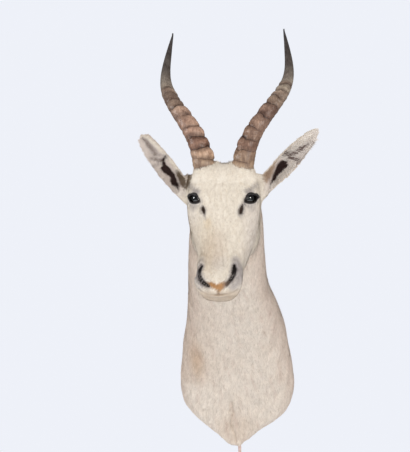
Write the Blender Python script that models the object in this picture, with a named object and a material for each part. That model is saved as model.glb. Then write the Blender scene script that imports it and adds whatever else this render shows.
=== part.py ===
# Blesbok shoulder mount: a white blesbok's head, neck and shoulder on a wall board.
# Units are metres, +Z up. The wall plane is y = 0 and the animal faces -Y.
# The origin lies on the back of the board, just under the hanger.
import math

import bpy
import bmesh
import numpy as np
from mathutils import Matrix, Vector

MM = 0.001
GAP = 0.0003            # clearance between touching pieces

# Driving dimensions, in millimetres. Depth is the distance out from the wall.
HORN_TIP = (118, 241, 690)      # x, depth, height
EAR_HALF_WIDTH = 21
EAR_WALL = 4.5
EYE_RADIUS = 17
EYE_CENTRE = (49, 346, 327)
BOARD_THICKNESS = 18
BOARD_CENTRE = -62
BOARD_HALF = (104, 104)
BOARD_POWER = 0.86              # under 1 gives the board's edge straighter sides
HANGER_SIZE = (74, 15, 1.6)
HANGER_HEIGHT = 18
HANGER_RISE = 2.2
HANGER_RECESS = (42, 12, 6)     # half width, half height, depth
HANGER_BENDS = (0.52, 0.62)     # where the strip steps down to the wood, along its half length
HANGER_TEETH = 11
TOOTH_DEPTH = 1.8
SCREW_RADIUS = 3.6
SCREW_PLACE = 30.5              # from the middle, along the hanger
SCREW_HEAD = [(0.0, 1.0), (0.9, 0.92), (1.6, 0.6)]     # rise, share of the radius

# Roundness of the sections: under 1 is squarer than an ellipse, over 1 is more pointed
NECK_POWERS = (0.92, 0.95)      # across, front to back
HEAD_POWERS = (0.88, 1.12)      # across the top, across the jaw
HEAD_DEPTH_POWER = 0.9

# Neck and shoulder: height, front depth, back depth, depth of the widest place,
# half width, x of the middle
NECK = [
    (-240, 70, 56, 62, 7, 3),
    (-226, 70, 32, 52, 31, -4),
    (-208, 71, 8, 42, 52, -4),
    (-190, 73, -30, 36, 78, -4),
    (-170, 77, -30, 34, 104, -2),
    (-140, 86, -30, 36, 125, -2),
    (-95, 106, -30, 44, 134, -1),
    (-30, 142, -30, 60, 127, -1),
    (10, 169, -30, 75, 120, -1),
    (50, 199, -30, 94, 112, 0),
    (90, 231, 52, 126, 104, -1),
    (126, 261, 98, 164, 94, -4),
    (158, 286, 128, 202, 87, -6),
    (225, 306, 160, 248, 82, -4),
    (280, 314, 176, 260, 78, -2),
    (325, 312, 192, 260, 69, 0),
    (354, 300, 214, 266, 52, 0),
    (370, 284, 240, 266, 26, 0),
]

# Head: dorsal depth and height, ventral depth and height, widest place
# (0 at the dorsal line, 1 at the ventral line), half width
HEAD = [
    (292, 396, 252, 366, 0.50, 36),
    (326, 402, 250, 330, 0.48, 66),
    (353, 389, 252, 292, 0.44, 76),
    (368, 358, 260, 252, 0.38, 77),
    (375, 326, 276, 214, 0.36, 74),
    (377, 294, 294, 184, 0.40, 64),
    (382, 262, 314, 160, 0.44, 53),
    (391, 232, 338, 146, 0.42, 46),
    (405, 205, 360, 140, 0.38, 45),
    (422, 182, 378, 137, 0.34, 46),
    (436, 164, 392, 126, 0.32, 45),
    (442, 150, 402, 119, 0.34, 41),
    (441, 138, 412, 117, 0.40, 32),
    (432, 129, 418, 120, 0.45, 16),
]

# Swellings under the skin: x, depth, height, then the radii along them
SWELLINGS = [
    (52, 340, 331, 24, 24, 23),     # orbit
    (50, 306, 262, 25, 34, 52),     # cheek
    (29, 418, 165, 14, 14, 19),     # nostril wing
    (18, 410, 131, 15, 20, 12),     # lip
    (74, 298, 352, 23, 24, 29),     # ear root
    (37, 332, 378, 29, 31, 32),     # horn root
]

# Horn: x, depth, height, radius
HORN = [
    (37, 334, 374, 22.8),
    (42, 337, 412, 21.4),
    (52, 338, 445, 19.4),
    (69, 336, 474, 17.5),
    (89, 328, 503, 16.0),
    (111, 308, 534, 14.6),
    (126, 281, 563, 12.8),
    (131, 259, 600, 9.8),
    (126, 247, 645, 6.0),
    (*HORN_TIP, 0.9),
]
HORN_SPREAD = {-1: 1.02, 1: 1.0}    # the left horn stands out a little further
HORN_DROP = {-1: 4, 1: 0}           # and its tip is a little lower
HORN_RINGS = 12
RING_HEIGHT = 2.3
RING_END = 0.66         # how far up the horn the rings run
HORN_SIDES = 12
HORN_STEPS = 66

EAR_BASES = {-1: (-80, 303, 333), 1: (70, 303, 342)}
EAR_TIPS = {-1: (-172, 338, 460), 1: (191, 326, 466)}
EAR_FACING = (0.10, 0.97, -0.06)    # x outward, depth, height
EAR_SAG = {-1: 4, 1: 2}             # how far the ear's middle hangs below a straight line
EAR_HOLLOW = (0.04, 0.20)           # along the ear, where the hollow begins and is full
# Ear: place along it, half width and cup depth, as shares of EAR_HALF_WIDTH
EAR_ROOT = [
    (-0.20, 0.72, 0.66),
    (0.00, 0.84, 0.80),
    (0.12, 0.88, 0.84),
]
EAR_BLADES = {
    -1: [
        (0.28, 0.98, 0.78),
        (0.44, 1.06, 0.66),
        (0.60, 1.02, 0.52),
        (0.75, 0.90, 0.40),
        (0.87, 0.76, 0.30),
        (0.955, 0.54, 0.18),
        (1.00, 0.20, 0.08),
    ],
    1: [
        (0.28, 0.90, 0.78),
        (0.44, 1.00, 0.66),
        (0.60, 0.98, 0.52),
        (0.75, 0.84, 0.38),
        (0.87, 0.63, 0.26),
        (0.955, 0.40, 0.16),
        (1.00, 0.14, 0.07),
    ],
}

STRIP_TOP = (4, 50, -220)
STRIP_SIZE = (4.2, 2.4, 50)         # half width, half thickness, length

REMESH_VOXEL = 0.004
CAPE_RATIO = 0.034
LID_OPENING = (14.5, 10.5, 30)        # half width, half height, half length
GAZE = (0.66, 0.75, 0.04)            # outward, depth, height


def at(x, depth, height):
    return Vector((x * MM, -depth * MM, height * MM))


def clear_scene():
    for old in list(bpy.data.objects):
        bpy.data.objects.remove(old, do_unlink=True)


def material(name, colour, roughness, metallic=0.0):
    made = bpy.data.materials.new(name)
    made.use_nodes = True
    shader = made.node_tree.nodes["Principled BSDF"]
    shader.inputs["Base Color"].default_value = (*colour, 1.0)
    shader.inputs["Roughness"].default_value = roughness
    shader.inputs["Metallic"].default_value = metallic
    return made


def add_object(name, mesh, finish=None):
    made = bpy.data.objects.new(name, mesh)
    bpy.context.scene.collection.objects.link(made)
    if finish:
        mesh.materials.append(finish)
    return made


def loft(rings, tip=None):
    """Skin a row of closed rings of points, with flat caps or one end point."""
    bm = bmesh.new()
    rows = [[bm.verts.new(p) for p in ring] for ring in rings]
    for low, high in zip(rows, rows[1:]):
        for i in range(len(low)):
            j = (i + 1) % len(low)
            bm.faces.new((low[i], low[j], high[j], high[i]))
    bm.faces.new(rows[0])
    if tip is None:
        bm.faces.new(rows[-1])
    else:
        end = bm.verts.new(tip)
        last = rows[-1]
        for i in range(len(last)):
            bm.faces.new((last[i], last[(i + 1) % len(last)], end))
    bmesh.ops.triangulate(bm, faces=[f for f in bm.faces if len(f.verts) > 4])
    bmesh.ops.recalc_face_normals(bm, faces=bm.faces)
    return bm


def to_mesh(bm, name, smooth=True):
    mesh = bpy.data.meshes.new(name)
    bm.to_mesh(mesh)
    bm.free()
    if smooth:
        mesh.shade_smooth()
    return mesh


def smooth_rows(rows, steps):
    """Catmull-Rom curve through the rows, read at even steps of the row number."""
    rows = np.array(rows, dtype=float)
    ends = np.vstack([2 * rows[0] - rows[1], rows, 2 * rows[-1] - rows[-2]])
    out = []
    for u in np.linspace(0, len(rows) - 1, steps):
        i = min(int(u), len(rows) - 2)
        t = u - i
        a, b, c, d = ends[i:i + 4]
        out.append(0.5 * (2 * b + (c - a) * t + (2 * a - 5 * b + 4 * c - d) * t ** 2
                          + (3 * b - a - 3 * c + d) * t ** 3))
    return np.array(out)


def power(value, exponent):
    return math.copysign(abs(value) ** exponent, value)


def neck_ring(height, front, back, widest, half, middle, sides=40):
    points = []
    for i in range(sides):
        angle = 2 * math.pi * i / sides
        s, c = math.sin(angle), math.cos(angle)
        reach = front - widest if c > 0 else widest - back
        points.append(at(middle + half * power(s, NECK_POWERS[0]),
                         widest + reach * power(c, NECK_POWERS[1]), height))
    return points


def head_ring(row, sides=40):
    depth_top, z_top, depth_low, z_low, place, half = row
    points = []
    for i in range(sides):
        angle = 2 * math.pi * i / sides
        s, c = math.sin(angle), math.cos(angle)
        share = place - (place if c > 0 else 1 - place) * power(c, HEAD_DEPTH_POWER)
        x = half * power(s, HEAD_POWERS[0] if c > 0 else HEAD_POWERS[1])
        points.append(at(x, depth_top + (depth_low - depth_top) * share,
                         z_top + (z_low - z_top) * share))
    return points


def merge(target, source):
    mesh = bpy.data.meshes.new("merge")
    source.to_mesh(mesh)
    source.free()
    target.from_mesh(mesh)
    bpy.data.meshes.remove(mesh)


def body_form():
    """The neck, the head and the swellings as overlapping shells in one mesh."""
    form = loft([neck_ring(*row) for row in smooth_rows(NECK, 50)])
    merge(form, loft([head_ring(row) for row in smooth_rows(HEAD, 40)]))
    for x, depth, height, rx, ry, rz in SWELLINGS:
        for side in (-1, 1):
            ball = bmesh.new()
            place = Matrix.Translation(at(side * x, depth, height))
            size = Matrix.Diagonal((rx * MM, ry * MM, rz * MM, 1))
            bmesh.ops.create_icosphere(ball, subdivisions=3, radius=1, matrix=place @ size)
            merge(form, ball)
    return form


def box(name, low, high):
    bm = bmesh.new()
    low, high = Vector(low), Vector(high)
    size = Matrix.Diagonal((*(high - low), 1))
    bmesh.ops.create_cube(bm, size=1, matrix=Matrix.Translation((low + high) / 2) @ size)
    return add_object(name, to_mesh(bm, name, smooth=False))


def as_cutter(obj):
    obj.hide_render = True
    obj.display_type = "WIRE"
    return obj


def boolean(obj, other, operation):
    step = obj.modifiers.new(operation.lower() + "_" + other.name, "BOOLEAN")
    step.operation = operation
    step.object = as_cutter(other)
    step.solver = "EXACT"


def ear_axes(side):
    base, tip = at(*EAR_BASES[side]), at(*EAR_TIPS[side])
    along = (tip - base).normalized()
    facing = Vector((side * EAR_FACING[0], -EAR_FACING[1], EAR_FACING[2]))
    facing = (facing - along * facing.dot(along)).normalized()
    return base, tip, along, facing, along.cross(facing)


def ear_ring(side, t, width, cup, half_sides=8):
    """One C-shaped section: the back arc, then the hollow's arc on the way back."""
    base, tip, along, facing, across = ear_axes(side)
    centre = base.lerp(tip, t) - Vector((0, 0, EAR_SAG[side] * MM * 4 * t * (1 - t)))
    w = width * EAR_HALF_WIDTH * MM
    depth = cup * EAR_HALF_WIDTH * MM
    wall = EAR_WALL * MM * min(1, 0.35 + width)
    start, full = EAR_HOLLOW
    hollow = max(0.0, min(1.0, (t - start) / (full - start)))
    angles = np.linspace(-0.5 * math.pi, 0.5 * math.pi, half_sides)
    points = []
    for a in angles:
        points.append(centre + across * w * math.sin(a) - facing * depth * math.cos(a))
    for a in angles[::-1][1:-1]:
        inner = (depth - wall) * math.cos(a) * hollow - (1 - hollow) * depth * 0.7 * math.cos(a)
        points.append(centre + across * (w - wall * 0.5) * math.sin(a)
                      - facing * (inner - wall * 0.3))
    return points


def ear(side):
    rings = [ear_ring(side, *row) for row in smooth_rows(EAR_ROOT + EAR_BLADES[side], 15)]
    return add_object("ear_form_" + ("right" if side > 0 else "left"),
                      to_mesh(loft(rings), "ear_form"))


def horn_frames():
    rows = smooth_rows(HORN, 400)
    points = np.column_stack([rows[:, 0], -rows[:, 1], rows[:, 2]]) * MM
    lengths = np.concatenate([[0], np.cumsum(np.linalg.norm(np.diff(points, axis=0), axis=1))])
    share = np.linspace(0, 1, HORN_STEPS)
    where = share * lengths[-1]
    path = np.column_stack([np.interp(where, lengths, points[:, k]) for k in range(3)])
    radius = np.interp(where, lengths, rows[:, 3]) * MM
    return share, path, radius


def ring_wave(share):
    """0 in a groove, 1 on a crest, with the ridges crowding towards the bend."""
    turns = HORN_RINGS * (share / RING_END) ** 1.08
    phase = turns % 1.0
    return math.sin(math.pi * phase) ** 0.7


def horn_ring(side, share, centre, tangent, radius):
    outward = Vector((1.0, 0.35, 0.0))
    outward = (outward - tangent * outward.dot(tangent)).normalized()
    around = tangent.cross(outward)
    fade = max(0.0, min(1.0, (RING_END - share) / 0.06)) * min(1.0, share / 0.03)
    points = []
    for i in range(HORN_SIDES):
        angle = 2 * math.pi * i / HORN_SIDES
        c = math.cos(angle)
        front = 0.5 - 0.5 * c       # 1 on the inner front side, 0 on the outer back
        ridge = RING_HEIGHT * MM * fade * (0.25 + 0.75 * front) * (ring_wave(share) - 0.5)
        r = radius + ridge * min(1.0, radius / (10 * MM))
        p = centre + (outward * c + around * math.sin(angle)) * r
        height = p.z - HORN_DROP[side] * MM * share ** 2
        points.append(Vector((side * HORN_SPREAD[side] * p.x, p.y, height)))
    return points


def horn_shape(side, widen=0.0, steps=HORN_STEPS):
    share, path, radius = horn_frames()
    rings = []
    for k in range(steps):
        ahead = Vector(path[min(k + 1, HORN_STEPS - 1)])
        behind = Vector(path[max(k - 1, 0)])
        tangent = (ahead - behind).normalized()
        rings.append(horn_ring(side, share[k], Vector(path[k]), tangent, radius[k] + widen))
    return loft(rings)


def horn(name, side, finish):
    return add_object(name, to_mesh(horn_shape(side), name), finish)


def eye(name, side, finish, widen=0.0):
    bm = bmesh.new()
    place = Matrix.Translation(at(side * EYE_CENTRE[0], *EYE_CENTRE[1:]))
    bmesh.ops.create_icosphere(bm, subdivisions=3, radius=EYE_RADIUS * MM + widen, matrix=place)
    return add_object(name, to_mesh(bm, name), finish)


def lid_opening(name, side):
    """A long ellipsoid along the gaze that lays the front of the eyeball bare."""
    bm = bmesh.new()
    gaze = Vector((side * GAZE[0], -GAZE[1], GAZE[2])).normalized()
    turn = gaze.to_track_quat("Z", "Y").to_matrix().to_4x4()
    size = Matrix.Diagonal((*(r * MM for r in LID_OPENING), 1))
    place = Matrix.Translation(at(side * EYE_CENTRE[0], *EYE_CENTRE[1:])
                               + gaze * LID_OPENING[2] * MM)
    bmesh.ops.create_icosphere(bm, subdivisions=3, radius=1, matrix=place @ turn @ size)
    return add_object(name, to_mesh(bm, name))


def plate_ring(depth, widen, sides=40):
    points = []
    for i in range(sides):
        angle = 2 * math.pi * i / sides
        x = (BOARD_HALF[0] + widen) * power(math.sin(angle), BOARD_POWER)
        z = BOARD_CENTRE + (BOARD_HALF[1] + widen) * power(math.cos(angle), BOARD_POWER)
        points.append(at(x, depth, z))
    return points


def plate(name, low, high, widen=0.0):
    bm = loft([plate_ring(low, widen), plate_ring(high, widen)])
    return add_object(name, to_mesh(bm, name, smooth=False))


def strip_form(widen=0.0):
    """The narrow strip that hangs from the lowest point of the cape."""
    half, thick, length = STRIP_SIZE
    rings = []
    for k in range(7):
        t = k / 6
        taper = 1 - 0.25 * t
        x = STRIP_TOP[0] + 2.0 * math.sin(2.4 * t)
        depth = STRIP_TOP[1] + 1.5 * math.sin(3.0 * t)
        height = STRIP_TOP[2] - length * t + (widen if k == 0 else 0)
        ring = []
        for i in range(10):
            angle = 2 * math.pi * i / 10
            ring.append(at(x + (half * taper + widen) * math.cos(angle),
                           depth + (thick + widen) * math.sin(angle), height))
        rings.append(ring)
    return to_mesh(loft(rings), "strip_form")


def cape(finish):
    made = add_object("cape", to_mesh(body_form(), "cape"), finish)
    skin = made.modifiers.new("one_skin", "REMESH")
    skin.mode = "VOXEL"
    skin.voxel_size = REMESH_VOXEL
    skin.use_smooth_shade = True
    relax = made.modifiers.new("relax", "SMOOTH")
    relax.factor = 0.5
    relax.iterations = 20
    thin = made.modifiers.new("thin", "DECIMATE")
    thin.ratio = CAPE_RATIO
    for side in (-1, 1):
        boolean(made, ear(side), "UNION")
    boolean(made, box("wall_cut", (-0.3, 0.0, -0.4), (0.3, 0.1, 0.5)), "DIFFERENCE")
    boolean(made, plate("board_pocket", -5, BOARD_THICKNESS + GAP / MM, GAP / MM), "DIFFERENCE")
    boolean(made, add_object("strip_slot", strip_form(GAP / MM)), "DIFFERENCE")
    for side, tag in ((-1, "left"), (1, "right")):
        boolean(made, eye("eye_socket_" + tag, side, None, GAP), "DIFFERENCE")
        boolean(made, lid_opening("lid_opening_" + tag, side), "DIFFERENCE")
        socket = to_mesh(horn_shape(side, GAP, 14), "horn_socket_" + tag)
        boolean(made, add_object("horn_socket_" + tag, socket), "DIFFERENCE")
    return made


def backboard(finish):
    made = plate("backboard", 0, BOARD_THICKNESS)
    made.data.materials.append(finish)
    wide, high, deep = (value * MM for value in HANGER_RECESS)
    middle = HANGER_HEIGHT * MM
    recess = box("hanger_recess", (-wide, -deep, middle - high), (wide, deep, middle + high))
    boolean(made, recess, "DIFFERENCE")
    return made


def hanger(finish):
    """A steel strip across the recess, its ends down on the wood, its lower edge toothed."""
    half, high, thick = HANGER_SIZE[0] / 2 * MM, HANGER_SIZE[1] / 2 * MM, HANGER_SIZE[2] * MM
    floor = GAP - HANGER_RECESS[2] * MM
    raised = floor + HANGER_RISE * MM
    inner, outer = (share * half for share in HANGER_BENDS)
    profile = [(-half, floor), (-outer, floor), (-inner, raised),
               (inner, raised), (outer, floor), (half, floor)]
    middle = HANGER_HEIGHT * MM
    bm = bmesh.new()
    lower = []
    for i in range(HANGER_TEETH * 2 + 1):
        x = -0.5 * half + half * i / (HANGER_TEETH * 2)
        lower.append((x, -high + (TOOTH_DEPTH * MM if i % 2 else 0.0)))
    edge = [(-half, -high), (-outer, -high), (-inner, -high)] + lower
    edge += [(inner, -high), (outer, -high), (half, -high)]
    columns = []
    for x, z_low in edge:
        y = float(np.interp(x, [p[0] for p in profile], [p[1] for p in profile]))
        low, top = middle + z_low, middle + high
        columns.append([bm.verts.new((x, y, low)), bm.verts.new((x, y + thick, low)),
                        bm.verts.new((x, y + thick, top)), bm.verts.new((x, y, top))])
    for a, b in zip(columns, columns[1:]):
        for k in range(4):
            bm.faces.new((a[k], a[(k + 1) % 4], b[(k + 1) % 4], b[k]))
    bm.faces.new(columns[0])
    bm.faces.new(columns[-1])
    bmesh.ops.recalc_face_normals(bm, faces=bm.faces)
    return add_object("hanger", to_mesh(bm, "hanger", smooth=False), finish)


def screw(name, side, finish):
    under = HANGER_RECESS[2] - HANGER_SIZE[2] - 2 * GAP / MM
    rings = []
    for rise, share in SCREW_HEAD:
        ring = []
        for i in range(16):
            angle = 2 * math.pi * i / 16
            r = SCREW_RADIUS * share
            ring.append(at(side * SCREW_PLACE + r * math.cos(angle), under - rise,
                           HANGER_HEIGHT + r * math.sin(angle)))
        rings.append(ring)
    bm = loft(rings)
    return add_object(name, to_mesh(bm, name), finish)


def build():
    clear_scene()
    hide = material("hide", (0.76, 0.70, 0.62), 0.85)
    keratin = material("horn", (0.36, 0.25, 0.19), 0.5)
    glass = material("eye_glass", (0.012, 0.010, 0.009), 0.06)
    wood = material("board_wood", (0.50, 0.36, 0.22), 0.7)
    steel = material("hanger_steel", (0.62, 0.62, 0.60), 0.35, 1.0)
    cape(hide)
    add_object("hide_strip", strip_form(), hide)
    horn("horn_left", -1, keratin)
    horn("horn_right", 1, keratin)
    eye("eye_left", -1, glass)
    eye("eye_right", 1, glass)
    backboard(wood)
    hanger(steel)
    screw("hanger_screw_left", -1, steel)
    screw("hanger_screw_right", 1, steel)


build()
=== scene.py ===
# Looks of the blesbok shoulder mount: hide and hair, ringed horns, glass eyes, wall board.
# The frame is in metres. Points written as (x, depth, height) are in millimetres,
# with depth measured out from the wall and x to the right as one faces the animal.
import math

import bmesh
import bpy
import numpy as np
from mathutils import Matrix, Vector
from mathutils.bvhtree import BVHTree

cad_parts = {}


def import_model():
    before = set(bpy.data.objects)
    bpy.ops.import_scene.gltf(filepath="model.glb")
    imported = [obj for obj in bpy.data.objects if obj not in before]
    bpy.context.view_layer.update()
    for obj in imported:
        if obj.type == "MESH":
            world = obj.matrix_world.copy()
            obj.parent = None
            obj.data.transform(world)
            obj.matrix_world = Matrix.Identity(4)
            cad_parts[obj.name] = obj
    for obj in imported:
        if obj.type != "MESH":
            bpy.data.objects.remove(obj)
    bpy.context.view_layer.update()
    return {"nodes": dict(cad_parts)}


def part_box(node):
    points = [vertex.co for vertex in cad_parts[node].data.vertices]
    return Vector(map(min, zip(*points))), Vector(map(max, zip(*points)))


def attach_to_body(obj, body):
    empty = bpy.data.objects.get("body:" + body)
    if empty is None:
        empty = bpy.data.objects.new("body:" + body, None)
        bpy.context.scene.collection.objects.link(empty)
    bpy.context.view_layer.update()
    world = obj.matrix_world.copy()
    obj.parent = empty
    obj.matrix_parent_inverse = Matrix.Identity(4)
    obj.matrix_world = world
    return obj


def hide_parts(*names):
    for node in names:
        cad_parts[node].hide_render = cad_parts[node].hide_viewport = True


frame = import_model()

NODES = frame["nodes"]
MM = 0.001
AXES = np.array((MM, -MM, MM))
TAGS = {-1: "left", 1: "right"}
rng = np.random.default_rng(7)

# Skin
SKIN_VOXEL = 0.0023
SKIN_TRIANGLES = 170000
SKIN_SINK = 1.2             # how far the skin lies under the hair tips, on the neck
WALL_CLEARANCE = 0.6        # no hair is nearer to the wall than this
JAW_ROUNDS = 120
EAR_ROUNDS = 24
NOSTRIL_DEPTH = 7.0
WING_BULGE = {-1: 4.0, 1: 1.0}

# Hair: numbers of hairs, and their sizes
NECK_HAIR = {"count": 56000, "width": 1.27, "lift": 1.5, "curl": 0.0}
FACE_HAIR = {"count": 60000, "width": 0.82, "lift": 0.7, "curl": 1.0}
NECK_LENGTH = 13.0
FACE_LENGTH = 6.0
MUZZLE_LENGTH = 2.6
LIP_LENGTH = 1.7
FUZZ_COUNT = 12000
FRINGE_COUNT = 4000
TUFT_COUNT = 1500
CROWN_COUNT = 9000
LASH_COUNT = 70

# Ears: along from 0 at the base to 1 at the tip, across from -1 to 1 at the upper rim
EAR_BASES = {-1: (-80, 303, 333), 1: (70, 303, 342)}
EAR_FACING = (0.10, 0.97, -0.06)
EAR_LENGTH = 165
EAR_REACH = 21              # half width of the ear
EAR_SAG = {-1: 4, 1: 2}
EAR_PLACES = (0, 0.28, 0.44, 0.6, 0.75, 0.87, 0.955, 1)
EAR_WIDTHS = {-1: (0.84, 0.98, 1.06, 1.02, 0.90, 0.76, 0.54, 0.22),
              1: (0.84, 0.90, 1.00, 0.98, 0.84, 0.63, 0.40, 0.16)}
EAR_HOLLOW = {-1: [(0.13, -0.30), (0.22, -0.60), (0.29, -0.30), (0.34, 0.0), (0.41, -0.20), (0.49, -0.20),
                   (0.55, 0.06), (0.59, 0.32), (0.60, 0.66), (0.60, 1.02), (0.57, 0.98), (0.54, 0.66),
                   (0.50, 0.42), (0.44, 0.50), (0.33, 0.46), (0.26, 0.24), (0.15, -0.12)],
              1: [(0.12, -0.62), (0.18, -0.16), (0.24, 0.12), (0.31, 0.40), (0.38, 0.62), (0.44, 0.54),
                  (0.50, 0.26), (0.44, -0.22), (0.37, -0.28), (0.31, -0.20), (0.27, -0.28), (0.22, -0.58)]}
EAR_STREAK = {-1: [(0.68, 0.38), (0.74, 0.47), (0.84, 0.50), (0.92, 0.72)],
              1: [(0.53, 0.83), (0.62, 0.42), (0.68, 0.36), (0.74, 0.16), (0.82, -0.03)]}
EAR_SMUDGE = {-1: [(0.57, 0.30), (0.61, 0.0), (0.68, -0.26)], 1: [(0.52, 0.57), (0.54, 0.06), (0.57, -0.48)]}
SMUDGE_SHARE = {-1: 0.55, 1: 0.80}
# Tufts in each ear: from and to along it, from and to across it, the way they lie
# (along, across), length, lift, share of dark hairs beside the streaks
EAR_TUFTS = {
    -1: [(0.12, 0.60, 0.62, 0.98, 0.55, -0.35, 7, 1.0, 0.0),
         (0.10, 0.60, -0.95, -0.50, 0.80, 0.35, 9, 0.9, 0.0),
         (0.52, 0.66, -0.40, 1.05, 0.20, 0.80, 7, 1.4, 0.5),
         (0.60, 0.96, -0.60, 1.15, 0.90, -0.15, 9, 0.6, 0.4)],
    1: [(0.46, 0.90, -0.20, 1.00, 0.45, -0.70, 15, 1.0, 0.9),
        (0.44, 0.86, -0.65, -0.10, 0.80, -0.25, 9, 0.8, 0.5),
        (0.12, 0.52, -0.95, -0.45, 0.60, 0.70, 9, 1.2, 0.0),
        (0.80, 0.99, -0.60, 1.10, 0.95, 0.00, 8, 0.6, 0.0)]}
# The patch at the ear's root, by x and height: brown hair, darkened on the left ear with painted shade between
# ear and head
EAR_ROOT_PATCH = {-1: [(-99, 384), (-80, 379), (-66, 377), (-69, 362), (-84, 349), (-94, 353), (-98, 369)],
                  1: [(70, 381), (83, 385), (104, 406), (100, 388), (93, 371), (86, 357), (77, 369)]}

# Depths from which the front of the face, the muzzle, the nostrils and the nose begin
FACE_FRONT = (322, 340)
FACE_START = (318, 95)      # depth and height of the lowest and furthest back point of the face
MUZZLE = (380, 396)
NOSTRIL_FRONT = (366, 384)
NOSE_FRONT = (400, 415)

# Places on the face by x and height
GLANDS = {-1: [(-39.3, 309), (-38.0, 303), (-36.2, 297)], 1: [(41.5, 313), (39.6, 305), (38.0, 297)]}
GLAND_WIDTHS = {-1: (2.8, 4.4, 2.4), 1: (2.0, 4.8, 3.8)}
GLAND_LINE = {-1: [(-35.6, 298), (-33, 288)], 1: [(46, 321), (42.5, 313), (40, 308)]}
GLAND_TRAIL = {-1: 0.45, 1: 0.80}
NOSTRILS = {-1: [(-35.5, 190), (-40, 182), (-40, 173), (-36, 164.5), (-29, 157), (-18.5, 151.5)],
            1: [(28.5, 191), (29.8, 182), (29.4, 174), (25.3, 165), (17.5, 155.5)]}
NOSTRIL_WIDTHS = {-1: (2.6, 4.4, 4.8, 4.6, 4.4, 2.8), 1: (3.0, 4.8, 4.6, 3.6, 2.8)}
WING = {-1: [(-38, 201), (-46, 184), (-46, 166), (-36, 151)], 1: [(31, 203), (40, 184), (41, 164), (30, 149)]}
WING_SHADE = {-1: 0.44, 1: 0.66}
NOSE_PATCH = [(-25, 160), (-12, 161), (-2, 156.5), (8, 161), (25, 162), (20, 151), (10, 143.5),
              (3, 135), (-3, 142.5), (-14, 148)]
PHILTRUM = [(0, 140.5), (0, 134)]
LIP_LINE = [(-39, 147), (-30, 139), (-20, 134.5), (-10, 133), (-2, 133.6), (8, 134), (21, 136), (31, 140),
            (39, 146)]
# The crease under the lower lip: carved into the skin, and darkened with painted shade
CHIN_LINE = [(-24, 131), (-11, 127), (0, 126), (11, 127), (24, 131)]
BROW = [(70, 357), (61, 350), (51, 342)]
SEAM = [(-9, -131), (-6, -160), (-13, -185), (-3, -205), (2, -238)]

# Eyes
GAZE = (0.66, 0.75, 0.04)
EYE_WINDOW = (57, 30, 322, 34)   # x, half width, height and half height of the finer skin
# Rim of the eye's opening: outwards, up, half thickness of the lid
LID_RIM = [(-16.8, -7.2, 0.8), (-13.0, 0.4, 1.7), (-7, 6.2, 2.6), (0, 8.6, 3.2), (8, 7.6, 3.1),
           (14.5, 4.6, 2.4), (21.5, 2.2, 0.9), (14.5, -1.6, 1.0), (9, -7.8, 1.2), (0, -10.8, 1.3),
           (-10, -10.8, 1.2)]
LID_STEPS = 96
LID_SIDES = 12
IRIS_SIZE = (0.62, 0.44)
CORNEA_BULGE = 0.05

# Horns: places of the rings, in millimetres along each from its base
RING_PLACES = {-1: (2, 22, 43, 66, 89, 115, 141, 161, 183, 203, 221),
               1: (2, 20, 41, 66, 88, 114, 146, 172, 191, 210, 227)}
RIDGE_HEIGHT = 4.0
HORN_SIDES = 56
HORN_STEPS = 560
HORN_CUTS = 90
# The crest value paints highlights on the rings' crests and shade in their grooves; this is its level where the
# horn has no rings
PLAIN_CREST = 0.42          # the shade of the horn where it has no rings
TURN = np.linspace(0, 2 * math.pi, HORN_SIDES, endpoint=False)[None, :]

# Colours of the coat, as the light leaves them
CREAM = (0.86, 0.785, 0.675)
NECK = (0.835, 0.75, 0.655)
TAN = (0.60, 0.45, 0.33)
PINK = (0.66, 0.50, 0.42)
OCHRE = (0.72, 0.56, 0.36)
STAIN = (0.66, 0.53, 0.36)
FLECK = (0.74, 0.58, 0.38)
GREY = (0.24, 0.205, 0.215)
WING_GREY = (0.36, 0.32, 0.33)
CHEEK_GREY = (0.64, 0.57, 0.55)
BRIDGE_GREY = (0.50, 0.45, 0.44)
DARK = (0.014, 0.010, 0.009)
GLAND_DARK = (0.042, 0.026, 0.019)
NOSE = (0.38, 0.155, 0.022)
NOSE_SIDE = (0.20, 0.145, 0.115)
FOLD_BROWN = (0.19, 0.095, 0.035)
LIP_DARK = (0.12, 0.075, 0.06)
UNDER_LIP_SHADE = (0.42, 0.32, 0.24)
CHIN_TAN = (0.54, 0.42, 0.31)
CROWN_SHADE = (0.22, 0.18, 0.16)
CROWN_DARK = (0.13, 0.105, 0.10)
EAR_DARK_SKIN_AND_SHADE = (0.026, 0.010, 0.008)
EAR_BROWN = (0.15, 0.10, 0.085)
EAR_SKIN = (0.70, 0.61, 0.55)
EAR_BACK = (0.66, 0.56, 0.46)
EAR_MOTTLE = (0.30, 0.23, 0.22)
EAR_WEB = (0.36, 0.29, 0.27)
# Colour at each ear's root: brown hair, and on the left ear painted shade where the ear shades the head
EAR_ROOT_BROWN_AND_SHADE = {-1: (0.115, 0.070, 0.032), 1: (0.42, 0.29, 0.20)}
TUFTS = {-1: (0.76, 0.69, 0.63), 1: (0.84, 0.78, 0.71)}
FRINGE_TONE = (0.92, 0.88, 0.82)

# Soft ovals of colour: centre, half sizes, where they begin and end to fade, colour, strength
# The first spot is tan hair with painted shade in the left shoulder's hollow; the second a tan patch on the
# brisket
BODY_TANS_AND_HOLLOW_SHADE = [((-84, 115, -22), (24, 60, 66), 0.0, 1.3, (0.60, 0.42, 0.28), 0.78),
              ((0, 75, -190), (60, 60, 42), 0.3, 1.2, TAN, 0.30)]
FACE_SPOTS = [((-28, 278), (11, 16), 0.2, 1.1, OCHRE, 0.40),
              ((-14, 226), (34, 50), 0.3, 1.15, TAN, 0.36)]
EYE_SPOTS = [((-1, -19), (15, 9), 0.3, 1.1, GREY, 0.30),
             ((-6, 15), (15, 8), 0.3, 1.1, GREY, 0.45)]
BRIDGE_SPOTS = [((0, 196), (26, 20), 0.3, 1.1, BRIDGE_GREY, 0.20)]
CROWN_SPOTS = [((2, 334, 402), (13, 12, 11), 0.4, 1.1, CROWN_SHADE, 0.7)]

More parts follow.
